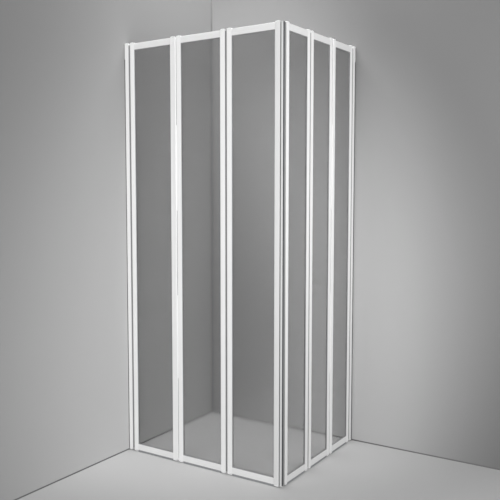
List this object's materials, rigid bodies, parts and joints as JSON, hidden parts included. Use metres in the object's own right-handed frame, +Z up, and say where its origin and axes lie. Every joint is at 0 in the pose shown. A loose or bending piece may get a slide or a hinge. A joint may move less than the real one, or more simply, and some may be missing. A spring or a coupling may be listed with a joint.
{
  "type": "shower enclosure",
  "caption": "Corner shower enclosure with trackless folding doors of framed grey glass panels, hinged from wall profiles and closed by magnetic seals at the free corner.",
  "frame": {"origin": "middle of the bounding box's base, on the floor", "axes": "+X from the left wall towards the outer face of the right door, +Y from the outer face of the left door towards the right wall, +Z up"},
  "size_m": [0.8, 0.704, 1.85],
  "materials": {
    "frame": "white powder coat, satin",
    "glazing": "grey tinted, smooth",
    "seal": "matte grey vinyl",
    "white_seal": "satin white vinyl",
    "magnet": "matte dark magnetic strip",
    "cap": "white moulded plastic",
    "steel": "bright stainless"
  },
  "bodies": {
    "wall_profiles": {"left_wall_channel": "frame", "left_hinge_profile": "frame", "left_profile_top_cap": "cap", "left_profile_bottom_cap": "cap", "left_locking_screw_bottom": "steel", "left_locking_screw_middle": "steel", "left_locking_screw_top": "steel", "left_wall_hinge_rod": "steel", "right_wall_channel": "frame", "right_hinge_profile": "frame", "right_profile_top_cap": "cap", "right_profile_bottom_cap": "cap", "right_locking_screw_bottom": "steel", "right_locking_screw_middle": "steel", "right_locking_screw_top": "steel", "right_wall_hinge_rod": "steel"},
    "left_wall_panel": {"left_wall_panel_wall_stile": "frame", "left_wall_panel_corner_stile": "frame", "left_wall_panel_top_rail": "frame", "left_wall_panel_bottom_rail": "frame", "left_wall_panel_glass": "glazing", "left_wall_panel_bottom_seal": "seal", "left_middle_hinge_rod": "steel"},
    "left_middle_panel": {"left_middle_panel_wall_stile": "frame", "left_middle_panel_corner_stile": "frame", "left_middle_panel_top_rail": "frame", "left_middle_panel_bottom_rail": "frame", "left_middle_panel_glass": "glazing", "left_middle_panel_bottom_seal": "seal", "left_corner_hinge_rod": "steel"},
    "left_corner_panel": {"left_corner_panel_wall_stile": "frame", "left_corner_panel_corner_stile": "frame", "left_corner_panel_top_rail": "frame", "left_corner_panel_bottom_rail": "frame", "left_corner_panel_glass": "glazing", "left_corner_panel_bottom_seal": "seal", "left_closing_seal": "white_seal", "left_magnet_strip": "magnet"},
    "right_wall_panel": {"right_wall_panel_wall_stile": "frame", "right_wall_panel_corner_stile": "frame", "right_wall_panel_top_rail": "frame", "right_wall_panel_bottom_rail": "frame", "right_wall_panel_glass": "glazing", "right_wall_panel_bottom_seal": "seal", "right_middle_hinge_rod": "steel"},
    "right_middle_panel": {"right_middle_panel_wall_stile": "frame", "right_middle_panel_corner_stile": "frame", "right_middle_panel_top_rail": "frame", "right_middle_panel_bottom_rail": "frame", "right_middle_panel_glass": "glazing", "right_middle_panel_bottom_seal": "seal", "right_corner_hinge_rod": "steel"},
    "right_corner_panel": {"right_corner_panel_wall_stile": "frame", "right_corner_panel_corner_stile": "frame", "right_corner_panel_top_rail": "frame", "right_corner_panel_bottom_rail": "frame", "right_corner_panel_glass": "glazing", "right_corner_panel_bottom_seal": "seal", "right_closing_seal": "seal", "right_magnet_strip": "magnet"}
  },
  "joints": [
    {"name": "left_wall_hinge", "type": "hinge", "parent": "wall_profiles", "child": "left_wall_panel", "pos_m": [-0.373, -0.3354, 0.9], "axis": [0, 0, 1], "range_deg": [0, 90]},
    {"name": "left_middle_hinge", "type": "hinge", "parent": "left_wall_panel", "child": "left_middle_panel", "pos_m": [-0.1195, -0.3486, 0.9], "axis": [0, 0, -1], "range_deg": [0, 180]},
    {"name": "left_corner_hinge", "type": "hinge", "parent": "left_middle_panel", "child": "left_corner_panel", "pos_m": [0.134, -0.3354, 0.9], "axis": [0, 0, 1], "range_deg": [0, 180], "deforming": ["left_closing_seal", "left_magnet_strip"]},
    {"name": "right_wall_hinge", "type": "hinge", "parent": "wall_profiles", "child": "right_wall_panel", "pos_m": [0.3834, 0.3205, 0.9], "axis": [0, 0, -1], "range_deg": [0, 90]},
    {"name": "right_middle_hinge", "type": "hinge", "parent": "right_wall_panel", "child": "right_middle_panel", "pos_m": [0.3966, 0.1055, 0.9], "axis": [0, 0, 1], "range_deg": [0, 180]},
    {"name": "right_corner_hinge", "type": "hinge", "parent": "right_middle_panel", "child": "right_corner_panel", "pos_m": [0.3834, -0.1095, 0.9], "axis": [0, 0, -1], "range_deg": [0, 180]}
  ]
}
